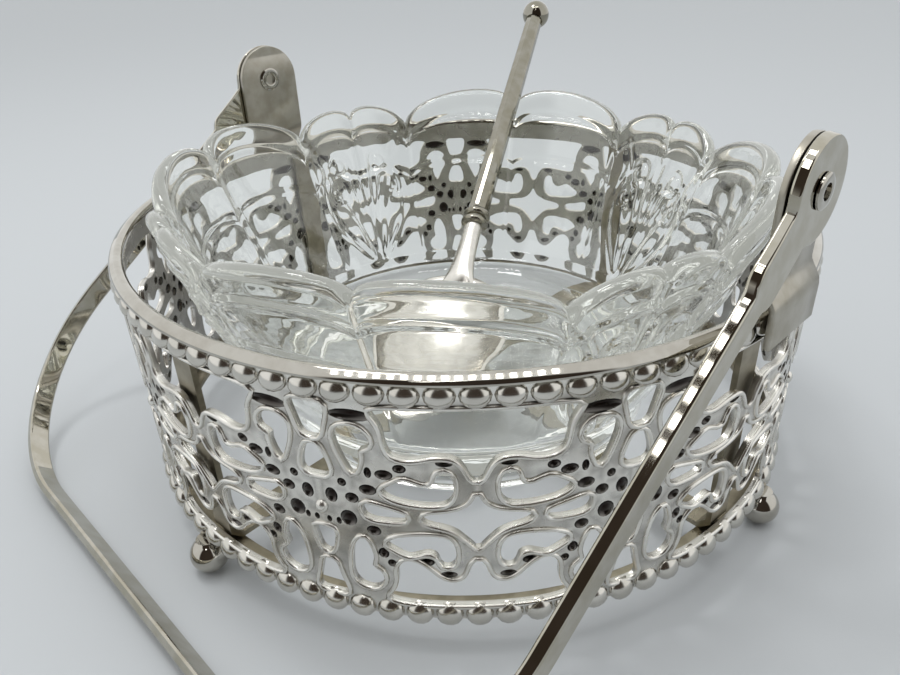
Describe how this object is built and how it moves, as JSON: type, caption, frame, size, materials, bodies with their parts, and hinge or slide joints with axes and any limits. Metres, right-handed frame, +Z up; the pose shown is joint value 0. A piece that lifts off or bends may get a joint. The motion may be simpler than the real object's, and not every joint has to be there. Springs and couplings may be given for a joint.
{
  "type": "honey dish",
  "caption": "Pierced filigree basket on ball feet with beaded edges and a swing bail, holding a scalloped pressed-glass dish and a spoon with a ball end.",
  "frame": {"origin": "on the basket's axis at table level, under the middle of the gallery", "axes": "+Z up; the ears and the bail's hinge line run along X; the bail lies down toward -Y"},
  "size_m": [0.1139, 0.1274, 0.0648],
  "materials": {
    "nickel_gallery": "bright nickel plate on stamped sheet, aged warm",
    "nickel_wire": "bright nickel plate, polished",
    "nickel_inside": "thin worn nickel plate over brass, warm",
    "pressed_glass": "clear pressed glass, fire polished",
    "nickel_bail": "bright nickel plate, fine scratches",
    "nickel_spoon": "bright nickel plate, polished",
    "nickel_ear": "nickel plate, satin from handling"
  },
  "bodies": {
    "basket": {"gallery_band": "nickel_gallery", "top_rim": "nickel_wire", "base_ring": "nickel_inside", "lower_cradle_strap": "nickel_inside", "upper_cradle_strap": "nickel_inside", "ball_feet": "nickel_wire", "right_ear": "nickel_ear", "right_rivet": "nickel_wire", "left_ear": "nickel_ear", "left_rivet": "nickel_wire"},
    "bail": {"bail": "nickel_bail"},
    "dish": {"glass_dish": "pressed_glass"},
    "spoon": {"spoon_bowl": "nickel_spoon", "spoon_collar": "nickel_spoon", "spoon_stem": "nickel_spoon", "spoon_finial": "nickel_spoon"}
  },
  "joints": [
    {"name": "bail_hinge", "type": "hinge", "parent": "basket", "child": "bail", "pos_m": [0, 0, 0.0541], "axis": [-1, 0, 0], "range_deg": [0, 258.9]},
    {"name": "dish_lift", "type": "slide", "parent": "basket", "child": "dish", "axis": [0, 0, 1], "range_m": [0, 0.06]},
    {"name": "spoon_lift", "type": "slide", "parent": "dish", "child": "spoon", "axis": [0, 0, 1], "range_m": [0, 0.07]}
  ]
}
